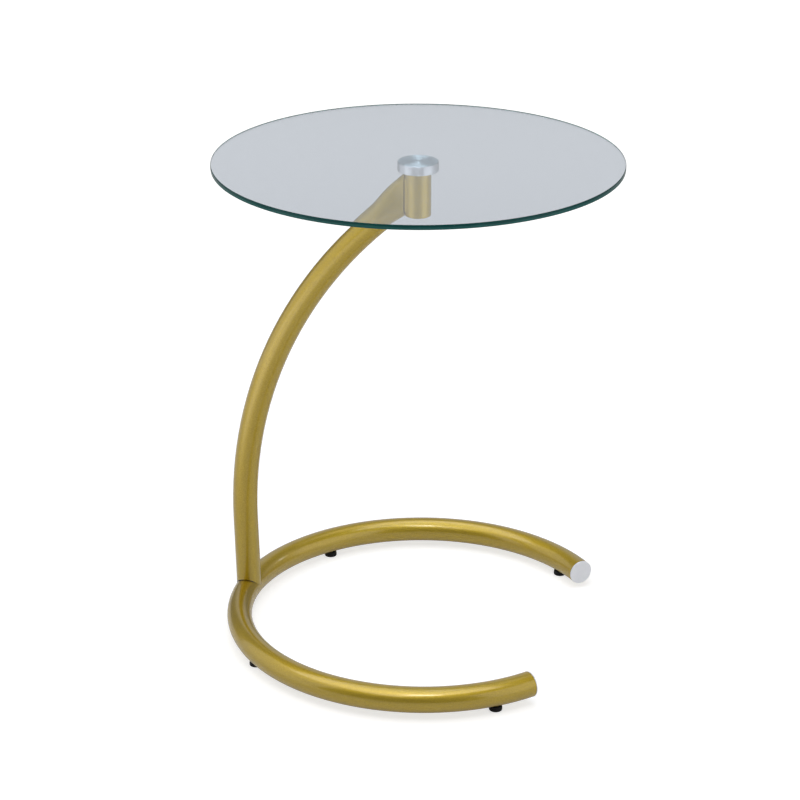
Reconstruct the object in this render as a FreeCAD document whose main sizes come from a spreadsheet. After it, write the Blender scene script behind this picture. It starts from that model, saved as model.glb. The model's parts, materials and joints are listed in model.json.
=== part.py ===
"""C shaped side table: a round glass top held by one bent tube that rises from an open ring.

Millimetres, +Z up. The origin is on the floor, under the axis of the hub that carries the glass.
The arm's foot stands at -X, the ring's mouth opens to +X and Y = 0 is the plane of symmetry.
"""
import FreeCAD, Part
import os
from math import asin, degrees, radians

import Sketcher
from FreeCAD import Placement, Rotation, Vector

SIZES = {
    # Glass top and the disc bonded under it
    "overall_height": 630,
    "glass_diameter": 500,
    "glass_thickness": 6,
    "glass_arris": 0.6,
    "bond_diameter": 47,
    "bond_thickness": 0.2,
    "disc_diameter": 50,
    "disc_thickness": 12,
    "disc_chamfer": 0.8,
    "disc_hole_depth": 10,
    # Round tube that the ring, the arm and the hub are all cut from
    "tube_diameter": 32,
    "tube_wall": 1.5,
    "hub_length": 56,
    "hub_plate_thickness": 4,
    "hub_plug_length": 12,
    "hub_plug_wall": 2,
    # Base ring: its centre lies forward of the hub, and its mouth opens to +X
    "ring_radius": 237.5,
    "ring_offset": 7.5,
    "mouth_half_angle": 41.65,
    "cap_flange": 1.8,
    "cap_chamfer": 0.5,
    "cap_plug_length": 10,
    "cap_plug_clearance": 0.4,
    # Arm: a straight foot, a bend and a straight upper run. Headings are measured from upright
    "arm_lean": 1.35,
    "arm_heading": 47.6,
    "bend_radius": 556,
    # Pressed end of the arm, and how far each of its nearly flat sides still turns
    "arm_end_rise": 22.9,
    "flare_start": 44,
    "flare_length": 46,
    "flare_overrun": 24,
    "pressed_side_turn": 4.5,
    "end_plate_thickness": 2,
    "weld_inner_edge": 4,
    "weld_hub_edge": 10.2,
    "weld_plate_edge": 7.2,
    "weld_margin": 4,
    "weld_length": 44,
    # Screwed joint between the arm and the ring
    "saddle_gap": 0.3,
    "saddle_cut_angle": 30,
    "weld_gap": 0.1,
    "nut_block_height": 34,
    "joint_bolt_diameter": 6,
    "joint_bolt_length": 20,
    "joint_bolt_spacing": 16,
    "joint_bolt_clearance": 0.3,
    "joint_hole_spare": 2.5,
    "socket_head_diameter": 10,
    "socket_head_height": 6,
    "socket_across_corners": 5.77,
    "socket_depth": 3,
    "access_clearance": 0.5,
    "saddle_washer_diameter": 12,
    "saddle_washer_thickness": 2,
    # Bolt that pulls the disc on the hub
    "hub_bolt_diameter": 8,
    "hub_bolt_length": 16,
    "hub_bolt_head_corners": 14.4,
    "hub_bolt_head_height": 5.3,
    "hub_bolt_clearance": 0.25,
    "flat_washer_diameter": 16,
    "flat_washer_thickness": 1.6,
    "lock_washer_diameter": 13.8,
    "lock_washer_thickness": 2,
    "lock_washer_split": 1.2,
    # Screw-in levelling feet
    "foot_height": 7,
    "foot_diameter": 16.5,
    "foot_round": 1.2,
    "foot_gap": 0.3,
    "foot_front_angle": 52.95,
    "foot_rear_angle": 137.2,
    "stud_diameter": 8,
    "stud_length": 20,
    "stud_chamfer": 1,
    "stud_head_diameter": 11,
    "stud_head_height": 2.6,
    "stud_head_floor": 2,
    "stud_hole_clearance": 0.3,
    "foot_nut_corners": 15,
    "foot_nut_height": 9,
    # Fits
    "thread_clearance": 0.05,
    "seat_gap": 0.05,
}

# Places worked out from the sizes. Names with ring_, arm_ and bend_ are measured from the ring's
# centre on the floor, and the others from the origin.
PLACES = {
    "tube_radius": "Sizes.tube_diameter / 2",
    "bore_radius": "Places.tube_radius - Sizes.tube_wall",
    "glass_bottom": "Sizes.overall_height - Sizes.glass_thickness",
    "disc_top": "Places.glass_bottom - Sizes.bond_thickness",
    "hub_top": "Places.disc_top - Sizes.disc_thickness",
    "hub_bottom": "Places.hub_top - Sizes.hub_length",
    "washer_top": "Places.hub_top - Sizes.hub_plate_thickness",
    "lock_washer_top": "Places.washer_top - Sizes.flat_washer_thickness",
    "hub_bolt_seat": "Places.lock_washer_top - Sizes.lock_washer_thickness",
    "ring_height": "Sizes.foot_height + Places.tube_radius",
    "ring_floor": "Places.ring_height - Places.bore_radius",
    "ring_crown": "Places.ring_height + Places.bore_radius",
    "joint_seat": "Places.ring_crown - Sizes.seat_gap - Sizes.saddle_washer_thickness",
    "joint_half_spacing": "Sizes.joint_bolt_spacing / 2",
    "joint_reach": "sqrt(Sizes.ring_radius ^ 2 - Places.joint_half_spacing ^ 2)",
    # Middle of the arm's pressed end, and the way to it from the foot
    "arm_end_x": "-Places.tube_radius - Sizes.end_plate_thickness - Sizes.ring_offset",
    "arm_end_z": "Places.hub_bottom + Sizes.arm_end_rise",
    "arm_reach": "Places.arm_end_x + Sizes.ring_radius",
    "arm_climb": "Places.arm_end_z - Places.ring_height",
    # Lengths of the two straight runs that the bend leaves of that way
    "bend_turn": "Sizes.arm_heading + Sizes.arm_lean",
    "bend_reach": "Sizes.bend_radius * (cos(Sizes.arm_lean) - cos(Sizes.arm_heading))",
    "bend_climb": "Sizes.bend_radius * (sin(Sizes.arm_lean) + sin(Sizes.arm_heading))",
    "spare_reach": "(Places.arm_reach - Places.bend_reach) / sin(Places.bend_turn)",
    "spare_climb": "(Places.arm_climb - Places.bend_climb) / sin(Places.bend_turn)",
    "foot_run": "Places.spare_climb * sin(Sizes.arm_heading) - Places.spare_reach * cos(Sizes.arm_heading)",
    "upper_run": "Places.spare_climb * sin(Sizes.arm_lean) + Places.spare_reach * cos(Sizes.arm_lean)",
    # Start and centre of the bend, and the run from its end to the flare: below 0 it starts in the bend
    "bend_start_x": "-Sizes.ring_radius - Places.foot_run * sin(Sizes.arm_lean)",
    "bend_start_z": "Places.ring_height + Places.foot_run * cos(Sizes.arm_lean)",
    "bend_centre_x": "Places.bend_start_x + Sizes.bend_radius * cos(Sizes.arm_lean)",
    "bend_centre_z": "Places.bend_start_z + Sizes.bend_radius * sin(Sizes.arm_lean)",
    "flare_run": "Places.upper_run - Sizes.flare_start",
    # A quarter of the tube's rim, in mm times degrees: an arc's radius times its turn
    "quarter_rim": "Places.tube_radius * 90",
}

# Elements and points of a sketch, as Sketcher numbers them
ROOT_INDEX = -1
HORIZONTAL_INDEX = -1
VERTICAL_INDEX = -2
START_INDEX = 1
END_INDEX = 2
CENTRE_INDEX = 3

UP = Vector(0, 0, 1)
ALONG = Vector(1, 0, 0)
SIDES = ("-1", "1")
FLARE_SECTIONS = 7
HEXAGON_SIDES = 6
SMALLEST_CHANGE = 1e-6
FOOT_ANGLES = (
    "360 - Sizes.foot_front_angle",
    "Sizes.foot_front_angle",
    "Sizes.foot_rear_angle",
    "360 - Sizes.foot_rear_angle",
)

doc = FreeCAD.newDocument("side_table")
nodes = []


# ---- Sizes ----

def write_sheet():
    sheet = doc.addObject("Spreadsheet::Sheet", "Sizes")
    for row, (name, size) in enumerate(SIZES.items(), start=1):
        sheet.set(f"A{row}", name)
        sheet.set(f"B{row}", str(size))
        sheet.setAlias(f"B{row}", name)
    doc.recompute()


def write_places():
    places = doc.addObject("App::VarSet", "Places")
    for name, formula in PLACES.items():
        places.addProperty("App::PropertyFloat", name)
        places.setExpression(name, formula)
    doc.recompute()
    return places


def number(formula):
    return float(places.evalExpression(formula))


# ---- Sketches ----

def origin_feature(body, role):
    return next(item for item in body.Origin.OriginFeatures if item.Role == role)


def new_body(label):
    body = doc.addObject("PartDesign::Body", label)
    nodes.append(body)
    return body


def new_sketch(body, name, role="XY_Plane", offset="0"):
    """Sketch on one of the body's own planes, moved along that plane's normal by the offset."""
    sketch = body.newObject("Sketcher::SketchObject", f"{body.Label}_{name}")
    sketch.AttachmentSupport = [(origin_feature(body, role), "")]
    sketch.MapMode = "FlatFace"
    if offset != "0":
        sketch.setExpression("AttachmentOffset.Base.z", offset)
    return sketch


def constrain(sketch, formula, *arguments):
    """Add a dimension and bind it to a formula."""
    index = sketch.addConstraint(Sketcher.Constraint(*arguments, number(formula)))
    sketch.setExpression(f"Constraints[{index}]", formula)


def fix_point(sketch, geometry, point, across, up):
    """Tie a point to the sketch's origin. A distance that runs backwards is measured backwards."""
    distances = (("DistanceX", across, VERTICAL_INDEX), ("DistanceY", up, HORIZONTAL_INDEX))
    for kind, formula, axis in distances:
        if formula == "0":
            sketch.addConstraint(Sketcher.Constraint("PointOnObject", geometry, point, axis))
        elif number(formula) < 0:
            constrain(sketch, f"-({formula})", kind, geometry, point, ROOT_INDEX, START_INDEX)
        else:
            constrain(sketch, formula, kind, ROOT_INDEX, START_INDEX, geometry, point)


def add_arc(sketch, centre, radius, first_angle, last_angle):
    """Arc that runs anticlockwise between two angles from the sketch's X axis."""
    circle = Part.Circle(centre, UP, radius)
    return sketch.addGeometry(Part.ArcOfCircle(circle, radians(first_angle), radians(last_angle)), False)


def draw_circle(sketch, diameter, across="0", up="0"):
    centre = Vector(number(across), number(up), 0)
    circle = sketch.addGeometry(Part.Circle(centre, UP, number(diameter) / 2), False)
    fix_point(sketch, circle, CENTRE_INDEX, across, up)
    constrain(sketch, diameter, "Diameter", circle)


def join_in_turn(sketch, count):
    """Join each side's end to the next side's start, and the last one's to the first one's."""
    for index in range(count):
        following = (index + 1) % count
        sketch.addConstraint(Sketcher.Constraint("Coincident", index, END_INDEX, following, START_INDEX))


def draw_outline(sketch, corners):
    """Closed outline of straight sides through corners that are pairs of formulas."""
    points = [Vector(number(across), number(up), 0) for across, up in corners]
    count = len(points)
    for index in range(count):
        sketch.addGeometry(Part.LineSegment(points[index], points[(index + 1) % count]), False)
    join_in_turn(sketch, count)
    for index, (across, up) in enumerate(corners):
        fix_point(sketch, index, START_INDEX, across, up)


def draw_pressed(sketch, share, wall):
    """Tube pressed from round, at a share of 0, towards flat sides. Each arc is a quarter of its rim."""
    side_turn = f"(90 - (90 - Sizes.pressed_side_turn) * {share})"
    end_turn = f"(180 - {side_turn})"
    side_radius = f"Places.quarter_rim / {side_turn}"
    end_radius = f"Places.quarter_rim / {end_turn}"
    end_centre = f"({side_radius} - {end_radius}) * sin({side_turn} / 2)"
    side_centre = f"({side_radius} - {end_radius}) * cos({side_turn} / 2)"
    arcs = (
        (Vector(number(end_centre), 0, 0), end_radius, 0, end_turn),
        (Vector(0, -number(side_centre), 0), side_radius, 90, side_turn),
        (Vector(-number(end_centre), 0, 0), end_radius, 180, end_turn),
        (Vector(0, number(side_centre), 0), side_radius, 270, side_turn),
    )
    for centre, radius, facing, turn in arcs:
        half_turn = number(turn) / 2
        add_arc(sketch, centre, number(f"{radius} - {wall}"), facing - half_turn, facing + half_turn)
    join_in_turn(sketch, len(arcs))
    across = f"({end_centre} + ({end_radius} - {wall}) * cos({end_turn} / 2))"
    up = f"(({end_radius} - {wall}) * sin({end_turn} / 2))"
    corners = ((across, f"-{up}"), (across, up), (f"-{across}", up), (f"-{across}", f"-{up}"))
    for index, (corner_across, corner_up) in enumerate(corners):
        fix_point(sketch, index, START_INDEX, corner_across, corner_up)
        constrain(sketch, f"{arcs[index][1]} - {wall}", "Radius", index)


# ---- Features ----

def finish_feature(feature):
    """Recompute, and check that the feature did something to its body."""
    doc.recompute()
    before = feature.BaseFeature.Shape.Volume if feature.BaseFeature else 0
    if feature.Shape.isNull() or abs(feature.Shape.Volume - before) < SMALLEST_CHANGE:
        raise ValueError(f"{feature.Name} changes nothing")
    return feature


def pad(body, sketch, length, backwards=False):
    feature = body.newObject("PartDesign::Pad", f"{sketch.Name}_pad")
    feature.Profile = sketch
    feature.Reversed = backwards
    feature.setExpression("Length", length)
    return finish_feature(feature)


def pocket(body, sketch, length, backwards=False):
    feature = body.newObject("PartDesign::Pocket", f"{sketch.Name}_pocket")
    feature.Profile = sketch
    feature.Reversed = backwards
    feature.setExpression("Length", length)
    return finish_feature(feature)


def revolve(body, sketch, angle="360", kind="Revolution"):
    """Turn a sketch about the body's Z axis, to both sides of the sketch's plane."""
    feature = body.newObject(f"PartDesign::{kind}", f"{sketch.Name}_{kind.lower()}")
    feature.Profile = sketch
    feature.ReferenceAxis = (origin_feature(body, "Z_Axis"), [""])
    feature.Midplane = True
    feature.setExpression("Angle", angle)
    return finish_feature(feature)


def sweep(body, sketch, route, kind):
    feature = body.newObject(f"PartDesign::{kind}", f"{sketch.Name}_{kind.lower()}")
    feature.Profile = sketch
    feature.Spine = (route, [f"Edge{index + 1}" for index in range(route.GeometryCount)])
    return finish_feature(feature)


def loft(body, sketches, kind):
    feature = body.newObject(f"PartDesign::{kind}", f"{sketches[0].Name}_{kind.lower()}")
    feature.Profile = sketches[0]
    feature.Sections = sketches[1:]
    return finish_feature(feature)


def rim_names(feature, radius, centre):
    """Names of the circular edges with this radius and centre."""
    names = []
    for index, edge in enumerate(feature.Shape.Edges, start=1):
        curve = edge.Curve
        is_rim = isinstance(curve, Part.Circle) and abs(curve.Radius - radius) < SMALLEST_CHANGE
        if is_rim and curve.Center.distanceToPoint(centre) < SMALLEST_CHANGE:
            names.append(f"Edge{index}")
    return names


def dress_rim(body, base, kind, size, radius, centre):
    """Chamfer or fillet the circular edge that has this radius and centre."""
    feature = body.newObject(f"PartDesign::{kind}", f"{body.Label}_{kind.lower()}")
    feature.Base = (base, rim_names(base, radius, centre))
    feature.setExpression("Radius" if kind == "Fillet" else "Size", size)
    return finish_feature(feature)


def turned_body(label, corners):
    """Piece turned about the Z axis from an outline of (radius, height) corners."""
    body = new_body(label)
    outline = new_sketch(body, "outline", "XZ_Plane")
    draw_outline(outline, corners)
    revolve(body, outline)
    return body


# ---- Primitives ----

def cylinder(name, radius, height, x="0", y="0", z="0"):
    item = doc.addObject("Part::Cylinder", name)
    item.setExpression("Radius", radius)
    item.setExpression("Height", height)
    move(item, x, y, z)
    return item


def hexagon(name, corner_radius, height, x="0", y="0", z="0"):
    item = doc.addObject("Part::Prism", name)
    item.Polygon = HEXAGON_SIDES
    item.setExpression("Circumradius", corner_radius)
    item.setExpression("Height", height)
    move(item, x, y, z)
    return item


def ring_bore(name):
    """The space inside the base ring's tube, less the gap that welded pieces leave."""
    item = doc.addObject("Part::Torus", name)
    item.setExpression("Radius1", "Sizes.ring_radius")
    item.setExpression("Radius2", "Places.bore_radius - Sizes.seat_gap")
    move(item, z="Places.ring_height")
    return item


def boolean(kind, name, base, tool):
    item = doc.addObject(f"Part::{kind}", name)
    item.Base = base
    item.Tool = tool
    doc.recompute()
    return item


def move(item, x="0", y="0", z="0"):
    for axis, formula in (("x", x), ("y", y), ("z", z)):
        if formula != "0":
            item.setExpression(f"Placement.Base.{axis}", formula)


def turn_about_ring(item, angle="0"):
    """Move a piece that is drawn about the ring's centre, and turn it about that centre."""
    item.setExpression("Placement.Base.x", "Sizes.ring_offset")
    if angle != "0":
        # A bound angle keeps the axis that the rotation had before
        item.Placement.Rotation = Rotation(UP, number(angle))
        item.setExpression("Placement.Rotation.Angle", angle)


# ---- Top: glass, bond and disc ----

def make_glass():
    radius = "Sizes.glass_diameter / 2"
    inner = f"{radius} - Sizes.glass_arris"
    body = turned_body("glass_top", [
        ("0", "0"),
        (inner, "0"),
        (radius, "Sizes.glass_arris"),
        (radius, "Sizes.glass_thickness - Sizes.glass_arris"),
        (inner, "Sizes.glass_thickness"),
        ("0", "Sizes.glass_thickness"),
    ])
    move(body, z="Places.glass_bottom")


def make_bond():
    body = new_body("glass_bond")
    film = new_sketch(body, "film")
    draw_circle(film, "Sizes.bond_diameter")
    pad(body, film, "Sizes.bond_thickness")
    move(body, z="Places.disc_top")


def make_disc():
    """Turned disc with a blind threaded hole in its lower face."""
    radius = "Sizes.disc_diameter / 2"
    inner = f"{radius} - Sizes.disc_chamfer"
    hole = "Sizes.hub_bolt_diameter / 2 + Sizes.thread_clearance"
    body = turned_body("adapter_disc", [
        (hole, "0"),
        (inner, "0"),
        (radius, "Sizes.disc_chamfer"),
        (radius, "Sizes.disc_thickness - Sizes.disc_chamfer"),
        (inner, "Sizes.disc_thickness"),
        ("0", "Sizes.disc_thickness"),
        ("0", "Sizes.disc_hole_depth"),
        (hole, "Sizes.disc_hole_depth"),
    ])
    move(body, z="Places.hub_top")


# ---- Hub ----

def make_hub_tube():
    body = new_body("hub_tube")
    wall = new_sketch(body, "wall")
    draw_circle(wall, "Sizes.tube_diameter")
    draw_circle(wall, "Places.bore_radius * 2")
    pad(body, wall, "Sizes.hub_length")
    move(body, z="Places.hub_bottom")


def make_hub_top_plate():
    body = new_body("hub_top_plate")
    plate = new_sketch(body, "plate")
    draw_circle(plate, "(Places.bore_radius - Sizes.weld_gap) * 2")
    pad(body, plate, "Sizes.hub_plate_thickness")
    hole = new_sketch(body, "hole")
    draw_circle(hole, "Sizes.hub_bolt_diameter + 2 * Sizes.hub_bolt_clearance")
    pocket(body, hole, "Sizes.hub_plate_thickness", backwards=True)
    move(body, z="Places.washer_top")


def make_hub_plug():
    """Push-in cup that closes the hub below, flush with the tube's end."""
    outer = "Places.bore_radius - Sizes.seat_gap"
    inner = f"{outer} - Sizes.hub_plug_wall"
    body = turned_body("hub_bottom_plug", [
        ("0", "0"),
        (outer, "0"),
        (outer, "Sizes.hub_plug_length"),
        (inner, "Sizes.hub_plug_length"),
        (inner, "Sizes.hub_plug_wall"),
        ("0", "Sizes.hub_plug_wall"),
    ])
    move(body, z="Places.hub_bottom")


def make_washer(label, diameter, thickness, z, split_width=None):
    outer = cylinder(f"{label}_outer", f"{diameter} / 2", thickness)
    hole = cylinder(f"{label}_hole", "Sizes.hub_bolt_diameter / 2 + Sizes.hub_bolt_clearance", thickness)
    washer = boolean("Cut", f"{label}_ring", outer, hole)
    if split_width:
        split = doc.addObject("Part::Box", f"{label}_split")
        split.setExpression("Length", f"{diameter} / 2")
        split.setExpression("Width", split_width)
        split.setExpression("Height", thickness)
        move(split, y=f"-{split_width} / 2")
        washer = boolean("Cut", f"{label}_split_ring", washer, split)
    washer.Label = label
    move(washer, z=z)
    nodes.append(washer)


def make_hub_bolt():
    """Hexagon bolt that points up: its head lies under the washers."""
    shank_radius = "Sizes.hub_bolt_diameter / 2"
    head = hexagon("hub_bolt_head", "Sizes.hub_bolt_head_corners / 2", "Sizes.hub_bolt_head_height",
                   z="-Sizes.hub_bolt_head_height")
    shank = cylinder("hub_bolt_shank", shank_radius, "Sizes.hub_bolt_length")
    bolt = boolean("Fuse", "hub_bolt_whole", head, shank)
    bolt.Label = "hub_bolt"
    move(bolt, z="Places.hub_bolt_seat")
    nodes.append(bolt)


def make_hub_weld(label, mirrored=False):
    """Bead in the groove between the end plate's flat face and the round hub, on one side."""
    body = new_body(label)
    profile = new_sketch(body, "profile")
    face = "-Places.tube_radius"
    inner, hub_edge, plate_edge = "Sizes.weld_inner_edge", "Sizes.weld_hub_edge", "Sizes.weld_plate_edge"
    radius = number("Places.tube_radius")
    inner_side = 180 - degrees(asin(number(inner) / radius))
    hub_side = 180 - degrees(asin(number(hub_edge) / radius))
    plate_inner = Vector(-radius, number(inner), 0)
    plate_outer = Vector(-radius, number(plate_edge), 0)
    on_hub = add_arc(profile, Vector(0, 0, 0), radius, hub_side, inner_side)
    hub_outer, hub_inner = profile.getPoint(on_hub, START_INDEX), profile.getPoint(on_hub, END_INDEX)
    sides = ((hub_inner, plate_inner), (plate_inner, plate_outer), (plate_outer, hub_outer))
    for first, last in sides:
        profile.addGeometry(Part.LineSegment(first, last), False)
    join_in_turn(profile, 1 + len(sides))
    profile.addConstraint(Sketcher.Constraint("Coincident", on_hub, CENTRE_INDEX, ROOT_INDEX, START_INDEX))
    constrain(profile, "Places.tube_radius", "Radius", on_hub)
    constrain(profile, hub_edge, "DistanceY", ROOT_INDEX, START_INDEX, on_hub, START_INDEX)
    constrain(profile, inner, "DistanceY", ROOT_INDEX, START_INDEX, on_hub, END_INDEX)
    along_plate = on_hub + 2
    fix_point(profile, along_plate, START_INDEX, face, inner)
    fix_point(profile, along_plate, END_INDEX, face, plate_edge)
    pad(body, profile, "Sizes.weld_length")
    if mirrored:
        body.Placement = Placement(Vector(0, 0, 0), Rotation(ALONG, 180))
    low_end = "Places.hub_bottom + Sizes.weld_margin"
    move(body, z=f"{low_end} + Sizes.weld_length" if mirrored else low_end)


# ---- Arm ----

def along_arm(distance):
    """Heading, x and z of the arm at a distance past its bend's end. A distance below 0 is in the bend."""
    heading = f"(Sizes.arm_heading + min(0; {distance}) / Sizes.bend_radius * 180 / pi)"
    bend_x = f"Places.bend_centre_x - Sizes.bend_radius * cos({heading})"
    bend_z = f"Places.bend_centre_z + Sizes.bend_radius * sin({heading})"
    straight = f"max(0; {distance})"
    x = f"{bend_x} + {straight} * sin(Sizes.arm_heading)"
    z = f"{bend_z} + {straight} * cos(Sizes.arm_heading)"
    return heading, x, z


def draw_arm_route(sketch):
    """Straight foot, bend, and the upper run as far as the flare, unless that starts in the bend."""
    foot = Vector(number("-Sizes.ring_radius"), number("Places.ring_height"), 0)
    bend_start = Vector(number("Places.bend_start_x"), number("Places.bend_start_z"), 0)
    bend_centre = Vector(number("Places.bend_centre_x"), number("Places.bend_centre_z"), 0)
    end_heading, _, end_z = along_arm("min(0; Places.flare_run)")
    lower = sketch.addGeometry(Part.LineSegment(foot, bend_start), False)
    # The bend runs clockwise, so its arc starts at the run's later end
    bend = add_arc(sketch, bend_centre, number("Sizes.bend_radius"), 180 - number(end_heading),
                   180 + number("Sizes.arm_lean"))
    sketch.addConstraint(Sketcher.Constraint("Coincident", lower, END_INDEX, bend, END_INDEX))
    fix_point(sketch, lower, START_INDEX, "-Sizes.ring_radius", "Places.ring_height")
    fix_point(sketch, lower, END_INDEX, "Places.bend_start_x", "Places.bend_start_z")
    fix_point(sketch, bend, CENTRE_INDEX, "Places.bend_centre_x", "Places.bend_centre_z")
    constrain(sketch, end_z, "DistanceY", ROOT_INDEX, START_INDEX, bend, START_INDEX)
    if number("Places.flare_run") > 0:
        _, flare_x, flare_z = along_arm("Places.flare_run")
        flare = Vector(number(flare_x), number(flare_z), 0)
        upper = sketch.addGeometry(Part.LineSegment(sketch.getPoint(bend, START_INDEX), flare), False)
        sketch.addConstraint(Sketcher.Constraint("Coincident", bend, START_INDEX, upper, START_INDEX))
        fix_point(sketch, upper, END_INDEX, flare_x, flare_z)


def tilted_sketch(body, name, heading, x, z):
    """Sketch square to the arm's run where that run has this heading from upright."""
    sketch = body.newObject("Sketcher::SketchObject", f"{body.Label}_{name}")
    sketch.AttachmentSupport = [(origin_feature(body, "XY_Plane"), "")]
    sketch.MapMode = "FlatFace"
    sketch.setExpression("AttachmentOffset",
                         f"placement(vector({x}; 0; {z}); rotation(vector(0; 1; 0); {heading}))")
    return sketch


def flare_sections(body, name, wall):
    """Sections from the round tube to its pressed end. The wall is taken off for the bore."""
    sections = []
    for index in range(FLARE_SECTIONS):
        distance = f"(Sizes.flare_start + Sizes.flare_overrun) * {index} / {FLARE_SECTIONS - 1}"
        heading, x, z = along_arm(f"(Places.flare_run + {distance})")
        share = f"min(1; {distance} / Sizes.flare_length)"
        sketch = tilted_sketch(body, f"{name}_{index}", heading, x, z)
        draw_pressed(sketch, f"({share}) ^ 2 * (3 - 2 * {share})", wall)
        sections.append(sketch)
    return sections


def cut_square(body, name, place, backwards):
    """Cut off all of the pressed end on one side of an upright plane, backwards for the far side."""
    plane = new_sketch(body, name, "YZ_Plane", place)
    draw_circle(plane, "4 * Sizes.tube_diameter", "0", "Places.arm_end_z")
    pocket(body, plane, "2 * Sizes.tube_diameter", backwards)


def cut_saddle(body):
    """Cope the piece on the ring's tube, less the gap of the seam."""
    saddle = new_sketch(body, "saddle", "XZ_Plane")
    draw_circle(saddle, "Sizes.tube_diameter + 2 * Sizes.saddle_gap", "-Sizes.ring_radius",
                "Places.ring_height")
    revolve(body, saddle, "Sizes.saddle_cut_angle", kind="Groove")


def make_arm():
    body = new_body("arm_tube")
    route = new_sketch(body, "route", "XZ_Plane")
    draw_arm_route(route)
    outside = tilted_sketch(body, "outside", "-Sizes.arm_lean", "-Sizes.ring_radius", "Places.ring_height")
    draw_circle(outside, "Sizes.tube_diameter")
    sweep(body, outside, route, "AdditivePipe")
    loft(body, flare_sections(body, "flare", "0"), "AdditiveLoft")
    inside = tilted_sketch(body, "inside", "-Sizes.arm_lean", "-Sizes.ring_radius", "Places.ring_height")
    draw_circle(inside, "Places.bore_radius * 2")
    sweep(body, inside, route, "SubtractivePipe")
    loft(body, flare_sections(body, "flare_bore", "Sizes.tube_wall"), "SubtractiveLoft")
    cut_square(body, "beyond", "Places.arm_end_x", backwards=True)
    cut_saddle(body)
    turn_about_ring(body)


def make_end_plate():
    """Plate that closes the pressed end and lies on the hub, ground flush with the arm."""
    body = new_body("arm_end_plate")
    loft(body, flare_sections(body, "outside", "0"), "AdditiveLoft")
    cut_square(body, "before", "Places.arm_end_x", backwards=False)
    cut_square(body, "beyond", "Places.arm_end_x + Sizes.end_plate_thickness", backwards=True)
    turn_about_ring(body)


def make_nut_block():
    """Plug welded in the arm's foot, coped like it, with a threaded hole for each joint bolt."""
    body = new_body("arm_nut_block")
    disc = tilted_sketch(body, "disc", "-Sizes.arm_lean", "-Sizes.ring_radius", "Places.ring_height")
    draw_circle(disc, "(Places.bore_radius - Sizes.weld_gap) * 2")
    pad(body, disc, "Sizes.nut_block_height")
    cut_saddle(body)
    holes = new_sketch(body, "holes")
    for side in SIDES:
        draw_circle(holes, "Sizes.joint_bolt_diameter + 2 * Sizes.thread_clearance",
                    "-Places.joint_reach", f"{side} * Places.joint_half_spacing")
    pocket(body, holes, "Places.joint_seat + Sizes.joint_bolt_length + Sizes.joint_hole_spare",
           backwards=True)
    turn_about_ring(body)


def make_joint_bolt(position, side):
    """Socket head screw that points up through the ring's upper wall."""
    label = f"joint_bolt_{position}"
    x, y = "-Places.joint_reach", f"{side} * Places.joint_half_spacing"
    head_bottom = "Places.joint_seat - Sizes.socket_head_height"
    head = cylinder(f"{label}_head", "Sizes.socket_head_diameter / 2", "Sizes.socket_head_height",
                    x, y, head_bottom)
    shank = cylinder(f"{label}_shank", "Sizes.joint_bolt_diameter / 2", "Sizes.joint_bolt_length",
                     x, y, "Places.joint_seat")
    socket = hexagon(f"{label}_socket", "Sizes.socket_across_corners / 2", "Sizes.socket_depth",
                     x, y, head_bottom)
    bolt = boolean("Cut", f"{label}_whole", boolean("Fuse", f"{label}_solid", head, shank), socket)
    bolt.Label = label
    turn_about_ring(bolt)
    nodes.append(bolt)


def make_saddle_washer(position, side):
    """Thick washer, flat below and rounded above to the ring's inner wall."""
    label = f"saddle_washer_{position}"
    x, y = "-Places.joint_reach", f"{side} * Places.joint_half_spacing"
    disc = cylinder(f"{label}_disc", "Sizes.saddle_washer_diameter / 2", "Places.tube_radius",
                    x, y, "Places.joint_seat")
    hole = cylinder(f"{label}_hole", "Sizes.joint_bolt_diameter / 2 + Sizes.joint_bolt_clearance",
                    "Places.tube_radius", x, y, "Places.joint_seat")
    washer = boolean("Common", f"{label}_whole", boolean("Cut", f"{label}_ring", disc, hole),
                     ring_bore(f"{label}_bore"))
    washer.Label = label
    turn_about_ring(washer)
    nodes.append(washer)


# ---- Base ring ----

def make_ring():
    body = new_body("base_ring")
    wall = new_sketch(body, "wall", "XZ_Plane")
    draw_circle(wall, "Sizes.tube_diameter", "-Sizes.ring_radius", "Places.ring_height")
    draw_circle(wall, "Places.bore_radius * 2", "-Sizes.ring_radius", "Places.ring_height")
    revolve(body, wall, "360 - 2 * Sizes.mouth_half_angle")
    stud_holes = new_sketch(body, "stud_holes")
    for angle in ("Sizes.foot_front_angle", "Sizes.foot_rear_angle"):
        for side in SIDES:
            draw_circle(stud_holes, "Sizes.stud_diameter + 2 * Sizes.stud_hole_clearance",
                        f"Sizes.ring_radius * cos({angle})", f"{side} * Sizes.ring_radius * sin({angle})")
    pocket(body, stud_holes, "Places.ring_height", backwards=True)
    access = new_sketch(body, "access_holes")
    upper = new_sketch(body, "joint_holes", offset="Places.ring_height")
    for side in SIDES:
        x, y = "-Places.joint_reach", f"{side} * Places.joint_half_spacing"
        draw_circle(access, "Sizes.saddle_washer_diameter + Sizes.access_clearance", x, y)
        draw_circle(upper, "Sizes.joint_bolt_diameter + 2 * Sizes.joint_bolt_clearance", x, y)
    pocket(body, access, "Places.ring_height", backwards=True)
    pocket(body, upper, "Sizes.tube_diameter", backwards=True)
    turn_about_ring(body)


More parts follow.
